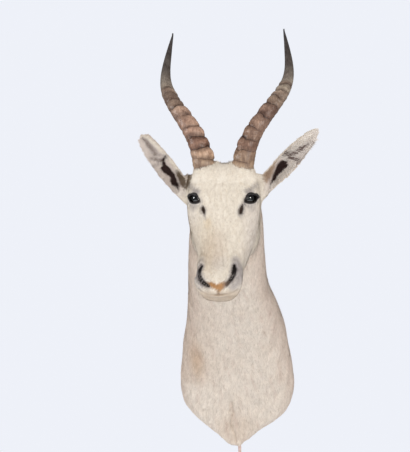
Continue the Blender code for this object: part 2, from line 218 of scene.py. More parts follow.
# Camera and light, from the photograph
IMAGE = (410, 452)
EYE_POINT = (251.5, 2600, 270)
FOCAL_PIXELS = 1105
YAW = 7.306                 # degrees that the camera is turned to the left
SENSOR = 36.0
WALL_WHITE = (0.857, 0.880, 0.942)
SKY = (0.95, 0.97, 1.0)
SKY_STRENGTH = 0.78
SKY_IN_GLOSS = 0.12
LIGHT_TARGET = (0, 200, 200)
# Name, place, size in metres, watts, colour
LIGHTS = [("key", (4095, 4466, 960), 1.5, 107, (1.0, 0.97, 0.93)),
          ("fill", (-3400, 1700, 640), 1.0, 46, (0.98, 0.99, 1.0)),
          ("front", (200, 3900, 500), 3.0, 13, (1.0, 0.99, 0.97))]
FLOOR_SIZE = 6
FLOOR_HEIGHT = -1200


def world(points):
    return np.asarray(points, float) * AXES


def unit(rows):
    return rows / np.maximum(np.linalg.norm(rows, axis=-1, keepdims=True), 1e-9)


def across_rows(rows, axes):
    """The rows without their part along the axes."""
    return rows - axes * (rows * axes).sum(1)[:, None]


def step(low, high, values):
    t = np.clip((values - low) / (high - low), 0, 1)
    return t * t * (3 - 2 * t)


def band(values, low, full, fading, end):
    """0 up to low, 1 from full to fading, 0 again from end."""
    return step(low, full, values) - step(fading, end, values)


def waves(points, size, seed, count=7):
    """Smooth random hills from -1 to 1, about size millimetres across."""
    own = np.random.default_rng(seed)
    total = np.zeros(len(points))
    for _ in range(count):
        direction = unit(own.normal(size=3))
        total += np.sin(points @ direction * (2 * math.pi / size) * own.uniform(0.6, 1.5)
                        + own.uniform(0, 6.28))
    return total / count * 1.6


def line_distance(flat, line):
    """Distance of each 2-D point to a line of points, and how far along it that is."""
    line = np.asarray(line, float)
    best = np.full(len(flat), 1e9)
    where = np.zeros(len(flat))
    for k, (a, b) in enumerate(zip(line, line[1:])):
        d = b - a
        t = np.clip((flat - a) @ d / (d @ d), 0, 1)
        gap = np.linalg.norm(flat - (a + t[:, None] * d), axis=1)
        closer = gap < best
        best[closer] = gap[closer]
        where[closer] = (k + t[closer]) / (len(line) - 1)
    return best, where


def near(flat, line, full, end):
    """1 within full of a line, 0 beyond end."""
    return 1 - step(full, end, line_distance(flat, line)[0])


def oval(points, centre, sizes, full, end):
    """1 in the middle of an oval, 0 outside it; full and end are shares of its half sizes."""
    return 1 - step(full, end, np.linalg.norm((points - centre) / sizes, axis=1))


def inside(flat, outline):
    """True inside a flat outline."""
    x, y = flat[:, 0], flat[:, 1]
    hit = np.zeros(len(flat), bool)
    for (x1, y1), (x2, y2) in zip(outline, outline[1:] + outline[:1]):
        crosses = (y1 > y) != (y2 > y)
        edge = x1 + (y - y1) * (x2 - x1) / ((y2 - y1) or 1e-9)
        hit ^= crosses & (x < edge)
    return hit


def outline_gap(flat, outline):
    """Distance to a closed outline, negative inside it."""
    gap, _ = line_distance(flat, outline + outline[:1])
    return np.where(inside(flat, outline), -gap, gap)


def line_gap(flat, line, widths):
    """Distance to the edge of a stroke whose half width changes along its line."""
    gap, along = line_distance(flat, line)
    return gap - np.interp(along, np.linspace(0, 1, len(widths)), widths)


def blend(base, colour, share):
    return base + (np.asarray(colour) - base) * share[:, None]


def add_spots(base, places, spots, share=1.0):
    for centre, sizes, full, end, colour, strength in spots:
        base = blend(base, colour, strength * share * oval(places, centre, sizes, full, end))
    return base


# Materials

def add_node(tree, kind, inputs=None, **settings):
    made = tree.nodes.new(kind)
    for name, value in settings.items():
        setattr(made, name, value)
    for name, value in (inputs or {}).items():
        if isinstance(value, bpy.types.NodeSocket):
            tree.links.new(value, made.inputs[name])
        else:
            made.inputs[name].default_value = value
    return made


def new_material(name, roughness, **inputs):
    made = bpy.data.materials.new(name)
    made.use_nodes = True
    shader = made.node_tree.nodes["Principled BSDF"]
    shader.inputs["Roughness"].default_value = roughness
    for key, value in inputs.items():
        shader.inputs[key.replace("_", " ")].default_value = value
    return made, made.node_tree, shader


def ramp(tree, factor, *stops):
    """Colour stops along a value; a single number stands for a grey."""
    made = add_node(tree, "ShaderNodeValToRGB", {"Fac": factor})
    elements = made.color_ramp.elements
    while len(elements) < len(stops):
        elements.new(0.5)
    for element, (place, colour) in zip(elements, stops):
        element.position = place
        element.color = (*colour, 1) if isinstance(colour, tuple) else (colour, colour, colour, 1)
    return made.outputs["Color"]


def multiply(tree, colour, *others):
    for other in others:
        made = add_node(tree, "ShaderNodeMix", {0: 1.0, 6: colour, 7: other},
                        data_type="RGBA", blend_type="MULTIPLY")
        colour = made.outputs[2]
    return colour


def place_of(tree, stretch):
    coords = add_node(tree, "ShaderNodeTexCoord")
    return add_node(tree, "ShaderNodeMapping",
                    {"Vector": coords.outputs["Object"], "Scale": stretch}).outputs["Vector"]


def noise(tree, scale, detail=3.0, roughness=0.5, stretch=(1, 1, 1)):
    return add_node(tree, "ShaderNodeTexNoise",
                    {"Vector": place_of(tree, stretch), "Scale": scale, "Detail": detail,
                     "Roughness": roughness}).outputs["Fac"]


def attribute(tree, name, output="Fac"):
    return add_node(tree, "ShaderNodeAttribute", attribute_name=name).outputs[output]


def cover(tree, shader, colour, height, strength, distance):
    """Gives the shader its colour and a bump."""
    tree.links.new(colour, shader.inputs["Base Color"])
    made = add_node(tree, "ShaderNodeBump", {"Height": height, "Strength": strength, "Distance": distance})
    tree.links.new(made.outputs["Normal"], shader.inputs["Normal"])


def hide_material():
    made, tree, shader = new_material("hide", 0.85, Specular_IOR_Level=0.2)
    shade = ramp(tree, noise(tree, 90.0, 4.0, 0.6), (0.3, (0.86, 0.84, 0.82)), (0.7, 1.0))
    colour = multiply(tree, attribute(tree, "coat", "Color"), shade)
    cover(tree, shader, colour, noise(tree, 900.0, 2.0, stretch=(1, 1, 0.3)), 0.5, 0.0006)
    return made


def hair_material():
    made, tree, shader = new_material("hair", 0.6, Specular_IOR_Level=0.25)
    shade = ramp(tree, attribute(tree, "tone"), (0.0, (0.76, 0.72, 0.68)), (0.5, (1.0, 0.99, 0.98)),
                 (1.0, 1.10))
    light = ramp(tree, noise(tree, 160.0, 2.0), (0.35, (0.92, 0.91, 0.90)), (0.65, 1.0))
    colour = multiply(tree, attribute(tree, "coat", "Color"), shade, light)
    cover(tree, shader, colour, noise(tree, 1500.0, 1.0), 0.2, 0.0003)
    return made


def horn_material():
    made, tree, shader = new_material("horn", 0.36, Specular_IOR_Level=0.5)
    base = ramp(tree, attribute(tree, "along"), (0.0, (0.30, 0.225, 0.17)), (0.16, (0.26, 0.175, 0.135)),
                (0.34, (0.215, 0.140, 0.114)), (0.48, (0.205, 0.152, 0.124)),
                (0.58, (0.290, 0.250, 0.212)), (0.66, (0.250, 0.228, 0.205)),
                (0.76, (0.100, 0.090, 0.085)), (1.0, (0.036, 0.034, 0.037)))
    rings = ramp(tree, attribute(tree, "tint"),
                 (0.15, (0.74, 0.64, 0.60)), (0.5, (1.0, 0.98, 0.96)), (0.85, (1.20, 1.20, 1.14)))
    # Painted highlights on the rings' crests and painted shade in the grooves between them, from the crest
    # value
    relief = ramp(tree, attribute(tree, "crest"), (0.0, (0.20, 0.16, 0.145)), (0.22, (0.80, 0.75, 0.72)),
                  (0.62, (1.08, 1.07, 1.05)), (1.0, (1.95, 1.95, 1.90)))
    patches = ramp(tree, noise(tree, 70.0, 5.0, 0.7),
                   (0.32, (0.60, 0.52, 0.48)), (0.5, (0.98, 0.94, 0.90)), (0.68, (1.30, 1.26, 1.18)))
    fibres = noise(tree, 380.0, 4.0, 0.65, (1, 1, 0.14))
    streaks = ramp(tree, fibres, (0.35, (0.70, 0.66, 0.64)), (0.65, (1.16, 1.15, 1.13)))
    cover(tree, shader, multiply(tree, base, rings, relief, patches, streaks), fibres, 0.6, 0.0010)
    return made


def eye_material():
    made, tree, shader = new_material("eye_glass", 0.03, IOR=1.55, Coat_Weight=1.0, Coat_Roughness=0.03)
    iris = ramp(tree, attribute(tree, "ring"), (0.0, 0.003), (0.40, 0.004), (0.52, (0.034, 0.026, 0.021)),
                (0.74, (0.026, 0.020, 0.017)), (0.92, (0.005, 0.004, 0.004)))
    fibres = noise(tree, 700.0, 2.0)
    shade = ramp(tree, fibres, (0.3, 0.7), (0.7, 1.2))
    cover(tree, shader, multiply(tree, iris, shade), fibres, 0.02, 0.0001)
    return made


def grained_material(name, roughness, gloss, grain, dark, light, strength, distance):
    """One grain for both colour and bump; grain holds the noise's settings."""
    made, tree, shader = new_material(name, roughness, Specular_IOR_Level=gloss)
    height = noise(tree, **grain)
    cover(tree, shader, ramp(tree, height, (0.3, dark), (0.7, light)), height, strength, distance)
    return made


def wood_material():
    made, tree, shader = new_material("board_wood", 0.65, Specular_IOR_Level=0.3)
    grain = (1.0, 1.0, 0.08)
    rings = add_node(tree, "ShaderNodeTexWave",
                     {"Vector": place_of(tree, grain), "Scale": 22.0, "Distortion": 9.0, "Detail": 4.0},
                     bands_direction="X").outputs["Fac"]
    colour = ramp(tree, rings, (0.0, (0.44, 0.29, 0.155)), (0.5, (0.53, 0.36, 0.20)),
                  (1.0, (0.59, 0.42, 0.25)))
    pores = ramp(tree, noise(tree, 600.0, 2.0, stretch=grain), (0.4, (0.8, 0.78, 0.75)), (0.6, 1.0))
    cover(tree, shader, multiply(tree, colour, pores), rings, 0.25, 0.0006)
    return made


def steel_material():
    made, tree, shader = new_material("hanger_steel", 0.38, Metallic=1.0)
    spangle = noise(tree, 260.0)
    colour = ramp(tree, spangle, (0.35, (0.42, 0.43, 0.44)), (0.65, (0.68, 0.68, 0.67)))
    cover(tree, shader, colour, spangle, 0.15, 0.0003)
    rough = add_node(tree, "ShaderNodeMapRange", {"Value": spangle, "To Min": 0.3, "To Max": 0.5})
    tree.links.new(rough.outputs["Result"], shader.inputs["Roughness"])
    return made


def floor_material():
    made, tree, shader = new_material("floor", 0.8)
    colour = ramp(tree, noise(tree, 2.0, 2.0), (0.3, (0.80, 0.82, 0.86)), (0.7, (0.84, 0.86, 0.90)))
    tree.links.new(colour, shader.inputs["Base Color"])
    return made


# Mesh helpers

def object_from(name, vertices, faces, material):
    mesh = bpy.data.meshes.new(name)
    mesh.from_pydata(vertices, [], faces)
    return finish_object(name, mesh, material)


def finish_object(name, mesh, material):
    mesh.shade_smooth()
    made = bpy.data.objects.new(name, mesh)
    bpy.context.scene.collection.objects.link(made)
    mesh.materials.append(material)
    return made


def write_attribute(mesh, name, values):
    """A number or a colour at each point, for the materials."""
    values = np.asarray(values, np.float32)
    if values.ndim == 2:
        made = mesh.attributes.new(name, "FLOAT_COLOR", "POINT")
        full = np.ones((len(values), 4), np.float32)
        full[:, :3] = values
        made.data.foreach_set("color", full.ravel())
    else:
        made = mesh.attributes.new(name, "FLOAT", "POINT")
        made.data.foreach_set("value", values)


def read_rows(mesh, kind):
    rows = np.empty(len(mesh.vertices) * 3)
    mesh.vertices.foreach_get(kind, rows)
    return rows.reshape(-1, 3)


def points_of(mesh):
    return read_rows(mesh, "co") / AXES


def normals_of(mesh):
    return read_rows(mesh, "normal") * np.sign(AXES)


def move_points(mesh, points):
    mesh.vertices.foreach_set("co", world(points).ravel())
    mesh.update()


def with_modifiers(mesh, modifiers, picked=()):
    """A new mesh after the modifiers, each a kind with settings; picked points form a group."""
    holder = bpy.data.objects.new("holder", mesh)
    bpy.context.scene.collection.objects.link(holder)
    if len(picked):
        holder.vertex_groups.new(name="picked").add([int(k) for k in picked], 1.0, "REPLACE")
    for kind, settings in modifiers:
        modifier = holder.modifiers.new(kind.lower(), kind)
        for key, value in settings.items():
            setattr(modifier, key, value)
    graph = bpy.context.evaluated_depsgraph_get()
    made = bpy.data.meshes.new_from_object(holder.evaluated_get(graph))
    bpy.data.objects.remove(holder)
    made.materials.clear()
    return made


def face_outwards(mesh):
    bm = bmesh.new()
    bm.from_mesh(mesh)
    bmesh.ops.recalc_face_normals(bm, faces=bm.faces)
    bm.to_mesh(mesh)
    bm.free()


def tube(rings, closed=False):
    """Vertices and faces of a row of rings, with ends unless the row closes on itself."""
    count, sides = len(rings), len(rings[0])
    faces = []
    for k in range(count if closed else count - 1):
        for i in range(sides):
            j = (i + 1) % sides
            n = (k + 1) % count
            faces.append((k * sides + i, k * sides + j, n * sides + j, n * sides + i))
    if not closed:
        faces.append(tuple(range(sides))[::-1])
        faces.append(tuple((count - 1) * sides + i for i in range(sides)))
    return [tuple(p) for ring in rings for p in ring], faces


# The ears' own directions

def ear_frame(side):
    """The ear's base, its direction, its hollow side, the direction to its upper rim, its length."""
    points = points_of(NODES["cape"].data)
    upper = points[points[:, 2] > 400]
    tip = upper[np.argmax(side * upper[:, 0])]
    base = np.array(EAR_BASES[side], float)
    length = np.linalg.norm(tip - base)
    along = (tip - base) / length
    facing = np.array((side * EAR_FACING[0], EAR_FACING[1], EAR_FACING[2]))
    facing = unit(facing - along * (facing @ along))
    across = np.cross(along, facing)
    return base, along, facing, across * math.copysign(1, across[2]), length


EARS = {side: ear_frame(side) for side in TAGS}


def ear_place(points, side):
    """Place along the ear, across it, and out of it in millimetres."""
    base, along, facing, across, length = EARS[side]
    q = points - base
    t = q @ along / length
    q[:, 2] += 4 * EAR_SAG[side] * t * (1 - t)
    wide = np.interp(t, EAR_PLACES, EAR_WIDTHS[side]) * EAR_REACH
    return t, q @ across / wide, q @ facing


def on_ear(points, side):
    t, u, out = ear_place(points, side)
    close = (np.abs(out) < 45) * (np.abs(u) < 1.8) * (side * points[:, 0] > 80)
    return step(0.04, 0.16, t) * close * (points[:, 2] > 325)


def ear_share(points):
    """1 on the ears, 0 on the head."""
    return np.maximum(on_ear(points, -1), on_ear(points, 1))


def ear_flat(t, u):
    return np.column_stack([t * EAR_LENGTH, u * EAR_REACH])


def ear_line(side, table):
    return [(t * EAR_LENGTH, u * EAR_REACH) for t, u in table[side]]


# The eyes' own directions

def eye_axes(side):
    """The eye's centre, its gaze, the way to its outer corner, its upward way and its radius."""
    low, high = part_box("eye_" + TAGS[side])
    centre = np.array((low + high) / 2) / AXES
    gaze = unit(np.array((side * GAZE[0], GAZE[1], GAZE[2])))
    outward = unit(np.array((side * GAZE[1], -GAZE[0], 0)))
    up = np.cross(outward, gaze)
    return centre, gaze, outward, up * math.copysign(1, up[2]), (high.x - low.x) / 2 / MM


EYES = {side: eye_axes(side) for side in TAGS}


def smooth_loop(rows, steps):
    """Closed Catmull-Rom curve through the rows."""
    rows = np.array(rows, float)
    count = len(rows)
    u = np.linspace(0, count, steps, endpoint=False)
    i, s = u.astype(int), (u % 1)[:, None]
    a, b, c, d = (rows[(i + k) % count] for k in (-1, 0, 1, 2))
    return 0.5 * (2 * b + (c - a) * s + (2 * a - 5 * b + 4 * c - d) * s ** 2
                  + (3 * b - a - 3 * c + d) * s ** 3)


LID_LOOP = smooth_loop(LID_RIM, LID_STEPS)


def lid_gap(points, side):
    """The points near an eye, their places over it and their distance outside the lid's line."""
    centre, gaze, outward, up, _ = EYES[side]
    q = points - centre
    flat, out = np.column_stack([q @ outward, q @ up]), q @ gaze
    close = np.flatnonzero((np.linalg.norm(flat, axis=1) < 42) & (out > -14) & (out < 60))
    gap = outline_gap(flat[close], [tuple(row[:2]) for row in LID_LOOP[::2]])
    return close, flat[close], gap


# The coat's colours by place, from points (x, depth, height) and normals of the same axes

def eye_colour(points, base):
    for side in TAGS:
        close, flat, gap = lid_gap(points, side)
        skin = blend(base[close], GREY, 0.42 * (1 - step(1.5, 9.0, gap)))
        skin = add_spots(skin, flat, EYE_SPOTS)
        base[close] = blend(skin, DARK, 1 - step(0.8, 3.2, gap))
    return base


def bridge_colour(flat, base, front, muzzle):
    """The brows, the stains along the bridge, the grey above the nose and the cheeks."""
    x, height = flat.T
    even = np.column_stack([np.abs(x), height])
    base = blend(base, GREY, 0.42 * front * near(even, BROW, 0, 9))
    base = add_spots(base, flat, FACE_SPOTS, front)
    left = step(4, 22, -x) * step(300, 270, height) * step(165, 190, height)
    base = blend(base, STAIN, 0.26 * front * left)
    base = add_spots(base, flat, BRIDGE_SPOTS, muzzle)
    cheek = step(32, 62, np.abs(x) - 2 * (x < 0)) * step(330, 300, height) * front
    return blend(base, CHEEK_GREY, (0.16 + 0.20 * (x > 0)) * cheek)


def nostril_colour(points, flat, base, side, muzzle):
    """A grey wing with a mottled rim, and the dark slit with its paler lower end."""
    x, depth, height = points.T
    half = step(-6, 2, side * x)
    base = blend(base, WING_GREY, WING_SHADE[side] * muzzle * half * near(flat, WING[side], 0, 15))
    gap = line_gap(flat, NOSTRILS[side], NOSTRIL_WIDTHS[side]) + 0.8 * waves(points, 5, 41)
    mottled = step(-0.2, 0.8, waves(points, 5, 47, 9)) * (1 - step(4, 12, gap)) * step(190, 180, height)
    base = blend(base, GREY, 0.45 * muzzle * half * mottled)
    wing = step(358, 382, depth) * half
    base = blend(base, GREY, 0.62 * wing * (1 - step(-1, 7, gap)))
    speckle = step(-0.1, 0.7, waves(points, 4, 43, 9)) * step(181, 172, height)
    return blend(base, DARK, wing * (1 - step(-1.8, 1.6, gap)) * (1 - 0.55 * speckle))


def gland_colour(points, flat, base, side, front):
    here = front * step(-4, 4, side * points[:, 0])
    gap = line_gap(flat, GLANDS[side], GLAND_WIDTHS[side]) + 0.5 * waves(points, 5, 42)
    base = blend(base, GREY, 0.45 * here * (1 - step(0, 7, gap)))
    base = blend(base, GREY, GLAND_TRAIL[side] * here * near(flat, GLAND_LINE[side], 0.5, 3.2))
    return blend(base, GLAND_DARK, here * (1 - step(-2.4, 2.2, gap)))


def nose_colour(points, flat, base):
    """The bare orange patch, browner at its sides."""
    x, depth, _ = points.T
    gap = outline_gap(flat, NOSE_PATCH) + 1.6 * waves(points, 6, 44)
    sides = np.maximum(step(5, 18, x), 0.6 * step(-12, -22, x))
    skin = NOSE + np.outer(sides, np.subtract(NOSE_SIDE, NOSE))
    skin = skin * (1 + 0.18 * waves(points, 5, 45))[:, None]
    return blend(base, skin, 0.88 * step(*NOSE_FRONT, depth) * (1 - step(-4.6, 2.8, gap)))


def mouth_colour(flat, base, muzzle):
    x, height = flat.T
    base = blend(base, FOLD_BROWN, 0.80 * muzzle * near(flat, PHILTRUM, 0.5, 4.5))
    middle = 1 - step(5, 15, np.abs(x - 2))
    base = blend(base, LIP_DARK, muzzle * (0.34 + 0.62 * middle) * near(flat, LIP_LINE, 0.6, 2.8))
    # Painted shade under the lower lip
    base = blend(base, UNDER_LIP_SHADE, 0.42 * muzzle * near(flat, CHIN_LINE, 0.5, 7.5))
    return blend(base, CHIN_TAN, 0.65 * muzzle * step(150, 136, height))


def face_colour(points, base):
    _, depth, height = points.T
    flat = points[:, [0, 2]]
    front = step(*FACE_FRONT, depth) * step(100, 110, height)
    muzzle = step(*MUZZLE, depth)
    base = bridge_colour(flat, base, front, muzzle)
    for side in TAGS:
        base = nostril_colour(points, flat, base, side, muzzle)
        base = gland_colour(points, flat, base, side, front)
    base = nose_colour(points, flat, base)
    base = mouth_colour(flat, base, muzzle)
    return eye_colour(points, base)


def root_share(points, side):
    """1 on the brown patch at the ear's root, which on the left ear also carries painted shade between ear and
    head.
    """
    gap = outline_gap(points[:, [0, 2]], EAR_ROOT_PATCH[side]) + 1.5 * waves(points, 8, 46)
    return (points[:, 1] < 352) * (1 - step(-2, 4, gap))


def thin_places(points, side, t, u, hollow, base):
    """Skin that shows through: mottled in the left ear, a web of brown in the right one."""
    if side < 0:
        mottle = np.clip(waves(points * (1, 1, 0.6), 11, 17), 0, 1) * (u < 0.1)
        return blend(base, EAR_MOTTLE, 0.70 * mottle * hollow * step(0.3, 0.5, t) * step(0.8, 0.6, t))
    web = step(0.50, 0.58, t) * step(0.92, 0.80, t) * step(0.80, 0.60, np.abs(u))
    return blend(base, EAR_WEB, 0.45 * web * hollow)


def ear_marks(points, side, t, u, hollow, base):
    """The brown streaks of hair, and the dark bottom of the hollow: dark skin with painted shade where the
    hollow is deepest.
    """
    flat = ear_flat(t, u)
    base = blend(base, EAR_BROWN, 0.66 * hollow * near(flat, ear_line(side, EAR_STREAK), 1.5, 11))
    smudge = SMUDGE_SHARE[side] * near(flat, ear_line(side, EAR_SMUDGE), 1, 5)
    base = blend(base, EAR_BROWN, smudge * hollow)
    # Painted shade darkens the bottom of the hollow, over its dark skin
    hollow_shade_gap = outline_gap(flat, ear_line(side, EAR_HOLLOW)) + waves(points, 6, 23)
    base = blend(base, EAR_BROWN, 0.5 * hollow * (1 - step(0, 4, hollow_shade_gap)))
    return blend(base, EAR_DARK_SKIN_AND_SHADE, hollow * (1 - step(-1.0, 1.2, hollow_shade_gap)))


def brown_rims(t, u, on, hollow, base):
    """The lower and the upper rim of the right ear."""
    lower = step(0.50, 0.58, t) * step(0.93, 0.83, t) * (1 - step(0.05, 0.16, np.abs(u + 0.72)))
    base = blend(base, EAR_BROWN, 0.75 * lower * hollow)
    upper = step(0.10, 0.30, t) * step(0.85, 0.6, t) * step(0.86, 0.98, u)
    return blend(base, EAR_BROWN, 0.6 * upper * on)


def ear_colour(points, normals, base):
    for side in TAGS:
        t, u, _ = ear_place(points, side)
        on = on_ear(points, side)
        facing = normals @ EARS[side][2]
        hollow = on * step(-0.35, 0.1, facing)
        base = blend(base, EAR_BACK, 0.6 * on * (1 - step(-0.6, -0.1, facing)))
        base = blend(base, EAR_SKIN, hollow * (1 - step(0.8, 1.0, np.abs(u))))
        base = thin_places(points, side, t, u, hollow, base)
        base = ear_marks(points, side, t, u, hollow, base)
        if side > 0:
            base = brown_rims(t, u, on, hollow, base)
        # The ear's root: brown hair, with painted shade between ear and head on the left
        base = blend(base, EAR_ROOT_BROWN_AND_SHADE[side], 0.92 * root_share(points, side))
    return base


def body_colour(points, normals, base, body):
    """Neck and shoulder: pink sides, tan patches with painted shade in the left shoulder's hollow, the seam,
    and the streaks of the coat.
    """
    x, depth, height = points.T
    base = blend(base, NECK, body)
    base = blend(base, PINK, 0.34 * body * step(0.30, 0.95, np.abs(normals[:, 0])))
    base = add_spots(base, points, BODY_TANS_AND_HOLLOW_SHADE)
    wavy = np.column_stack([x, height + 6 * waves(points, 16, 48)])
    seam = near(wavy, SEAM, 0.5, 4.5) * step(-110, -135, height) * (depth > 40)
    base = blend(base, TAN, 0.30 * seam)
    streaks = waves(points * (1, 0.6, 0.13), 8, 3, 11)
    wide = waves(points * (1, 0.6, 0.2), 24, 5)
    base = base * (1 + (0.085 * streaks + 0.03 * wide) * body)[:, None]
    base = blend(base, TAN, 0.22 * step(-10, -60, x) * step(-110, -60, height) * body)
    flush = np.clip(waves(points * (1, 0.6, 0.12), 10, 8, 9) - 0.2, 0, 1)
    return blend(base, PINK, 0.45 * flush * body)


def coat(points, normals):
    """The coat's colour at each point."""
    x, depth, height = points.T
    head = step(-20, 30, depth - 300 + 0.35 * (height - 200)) * step(90, 130, height)
    base = body_colour(points, normals, np.tile(CREAM, (len(points), 1)), 1 - head)
    base = blend(base, TAN, 0.12 * np.clip(waves(points, 60, 4), 0, 1) * (1 - 0.7 * head))
    base = blend(base, FLECK, 0.30 * np.clip(waves(points, 12, 9, 9) - 0.3, 0, 1) * head)
    face = on_front(points)
    base[face] = face_colour(points[face], base[face])
    base = add_spots(base, points, CROWN_SPOTS)
    ears = np.flatnonzero((np.abs(x) > 55) & (height > 300))
    base[ears] = ear_colour(points[ears], normals[ears], base[ears])
    return base


def on_front(points):
    """Which points are on the front of the face."""
    depth, height = FACE_START
    return np.flatnonzero((points[:, 1] > depth) & (points[:, 2] > height))


# The skin

def refine(mesh):
    """Finer faces round the eyes, the glands and the muzzle."""
    bm = bmesh.new()
    bm.from_mesh(mesh)
    middle_x, half_x, middle_height, half_height = EYE_WINDOW
    edges = []
    for edge in bm.edges:
        x, depth, height = (edge.verts[0].co + edge.verts[1].co) / 2 / MM * Vector((1, -1, 1))
        eye = abs(abs(x) - middle_x) < half_x and abs(height - middle_height) < half_height
        if (eye and depth > 325) or (depth > 398 and height < 212):
            edges.append(edge)
    bmesh.ops.subdivide_edges(bm, edges=edges, cuts=1, use_grid_fill=True)
    bmesh.ops.triangulate(bm, faces=[f for f in bm.faces if len(f.verts) > 4])
    bm.to_mesh(mesh)
    bm.free()


def relax(points, edges, weight, rounds):
    """Moves each point towards the middle of its neighbours."""
    count = np.bincount(edges.ravel(), minlength=len(points))
    for _ in range(rounds):
        total = np.zeros_like(points)
        for axis in range(3):
            total[:, axis] = (np.bincount(edges[:, 0], points[edges[:, 1], axis], len(points))
                              + np.bincount(edges[:, 1], points[edges[:, 0], axis], len(points)))
        points = points + weight[:, None] * (total / count[:, None] - points)
    return points


def fill_jaw(mesh, points, edges):
    """Softens the crease between jaw and neck, by relaxing that only moves points outwards."""
    x, depth, height = points.T
    jaw = step(18, 36, np.abs(x)) * step(90, 150, height) * step(325, 280, height)
    jaw = jaw * step(225, 275, depth) * step(400, 365, depth)
    move_points(mesh, points)
    normals = normals_of(mesh)
    for _ in range(JAW_ROUNDS):
        moved = relax(points, edges, 0.9 * jaw, 1) - points
        points = points + normals * np.maximum((moved * normals).sum(1), 0)[:, None]
    return relax(points, edges, 0.5 * jaw, 12)


def smooth_ears(points, edges, ears):
    """Relaxing that keeps the ears' thickness: a step in and a slightly longer one out."""
    for _ in range(EAR_ROUNDS):
        points = relax(points, edges, 0.52 * ears, 1)
        points = relax(points, edges, -0.54 * ears, 1)
    return points


def nostril_relief(points):
    """How far the nostrils' slits go back into the muzzle."""
    x, depth, _ = points.T
    back = np.zeros(len(points))
    for side in TAGS:
        gap = line_gap(points[:, [0, 2]], NOSTRILS[side], NOSTRIL_WIDTHS[side])
        slit = 1 - step(-2.6, 1.6, gap)
        back += NOSTRIL_DEPTH * slit * step(*NOSTRIL_FRONT, depth) * step(-6, 2, side * x)
    return back


def wing_relief(x, depth, flat, side):
    half = step(*NOSTRIL_FRONT, depth) * step(-6, 2, side * x)
    gap = line_gap(flat, NOSTRILS[side], NOSTRIL_WIDTHS[side])
    return half * (1.6 * band(gap, 0.5, 3.0, 4, 10) + WING_BULGE[side] * near(flat, WING[side], 2, 16))


def gland_relief(x, depth, flat, side):
    front = step(330, 345, depth) * step(-4, 4, side * x)
    gap = line_gap(flat, GLANDS[side], GLAND_WIDTHS[side])
    low, _ = line_distance(flat, GLANDS[side][-2:])
    return front * (1.1 * band(low, 3, 6, 7, 14) - 3.6 * (1 - step(-2.5, 2.0, gap)))


def face_relief(points):
    """How far the nostrils' wings, lips, chin and glands stand out of the skin."""
    x, depth, height = points.T
    flat = points[:, [0, 2]]
    push = np.zeros(len(points))
    lip, _ = line_distance(flat, LIP_LINE)
    middle = 1 - 0.6 * step(10, 24, np.abs(x - 3))
    push += middle * (0.7 * band(lip, 1.5, 4, 5, 10) - 2.8 * (1 - step(0.2, 2.6, lip)))
    push -= 1.2 * near(flat, CHIN_LINE, 0.5, 4.5)
    push -= 1.4 * (np.abs(x - 1) < 2) * (height > 132) * (height < 146)
    push += 0.8 * step(*NOSE_FRONT, depth) * (1 - step(-4, 1, outline_gap(flat, NOSE_PATCH)))
    push *= step(*MUZZLE, depth)
    for side in TAGS:
        push += wing_relief(x, depth, flat, side) + gland_relief(x, depth, flat, side)
    return push


def seam_relief(points):
    """The brisket seam with its puckers, and the gathers at its lower end."""
    x, depth, height = points.T
    gap, _ = line_distance(np.column_stack([x + 2.5 * waves(points, 14, 50), height]), SEAM)
    belly = step(40, 60, depth) * step(-110, -135, height)
    crumple = 0.9 * waves(points * (1, 1, 1.4), 9, 49, 9) * (1 - step(6, 26, gap))
    push = belly * (1.8 * band(gap, 2, 5, 6, 16) - 2.0 * (1 - step(0.3, 3.0, gap)) + crumple)
    gathers = np.sin(np.arctan2(x, 260 + height) * 9)
    return push + 1.5 * gathers * step(-195, -225, height) * step(30, 50, depth)


def body_relief(points):
    """The shoulder hollow, the seam and loose folds of the neck."""
    height = points[:, 2]
    push = seam_relief(points) - 2.6 * oval(points, (-78, 120, -42), (16, 60, 36), 0.0, 1.2)
    push += 1.2 * waves(points * (1, 1, 0.35), 46, 11) * (1 - step(60, 160, height))
    return push + 0.5 * waves(points * (1, 0.8, 0.22), 14, 12, 9) * (1 - step(120, 220, height))


def add_relief(mesh, points, ears):
    """The relief pushed out of the skin, which then sinks a little to make room for the hair."""
    move_points(mesh, points)
    normals = normals_of(mesh)
    push = body_relief(points)
    face = on_front(points)
    push[face] += face_relief(points[face])
    back = nostril_relief(points[face])
    points = points + normals * push[:, None]
    points[face, 1] -= back
    sink = SKIN_SINK * (1 - ears) * step(0, 12, points[:, 1]) * (1 - 0.6 * step(300, 340, points[:, 1]))
    points = points - normals * sink[:, None]
    points[:, 1] = np.maximum(points[:, 1], 0.0)
    return points


def with_fewer_faces(mesh):
    """Larger faces where the skin is plain: the neck, the shoulder and the back."""
    points = points_of(mesh)
    plain = np.flatnonzero((ear_share(points) < 0.01) & (points[:, 1] < FACE_START[0]))
    mesh.calc_loop_triangles()
    ratio = SKIN_TRIANGLES / len(mesh.loop_triangles)
    return with_modifiers(mesh, [("DECIMATE", {"ratio": ratio, "vertex_group": "picked"})], plain)


def build_skin(material):
    mesh = with_modifiers(NODES["cape"].data.copy(), [("WELD", {"merge_threshold": 1e-5}),
                                                      ("REMESH", {"mode": "VOXEL", "voxel_size": SKIN_VOXEL})])
    refine(mesh)
    edges = np.empty(len(mesh.edges) * 2, np.int64)
    mesh.edges.foreach_get("vertices", edges)
    edges = edges.reshape(-1, 2)
    points = points_of(mesh)
    ears = ear_share(points)
    points = relax(points, edges, 0.5 * (1 - ears), 14)
    points = fill_jaw(mesh, points, edges)
    points = smooth_ears(points, edges, ears)
    points = add_relief(mesh, points, ears)
    plain = (1 - ears) * (1 - step(320, 340, points[:, 1]))
    move_points(mesh, relax(points, edges, 0.5 * plain, 2))
    mesh = with_fewer_faces(mesh)
    write_attribute(mesh, "coat", coat(points_of(mesh), normals_of(mesh)))
    made = finish_object("skin", mesh, material)
    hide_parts("cape")
    return made


# Hair

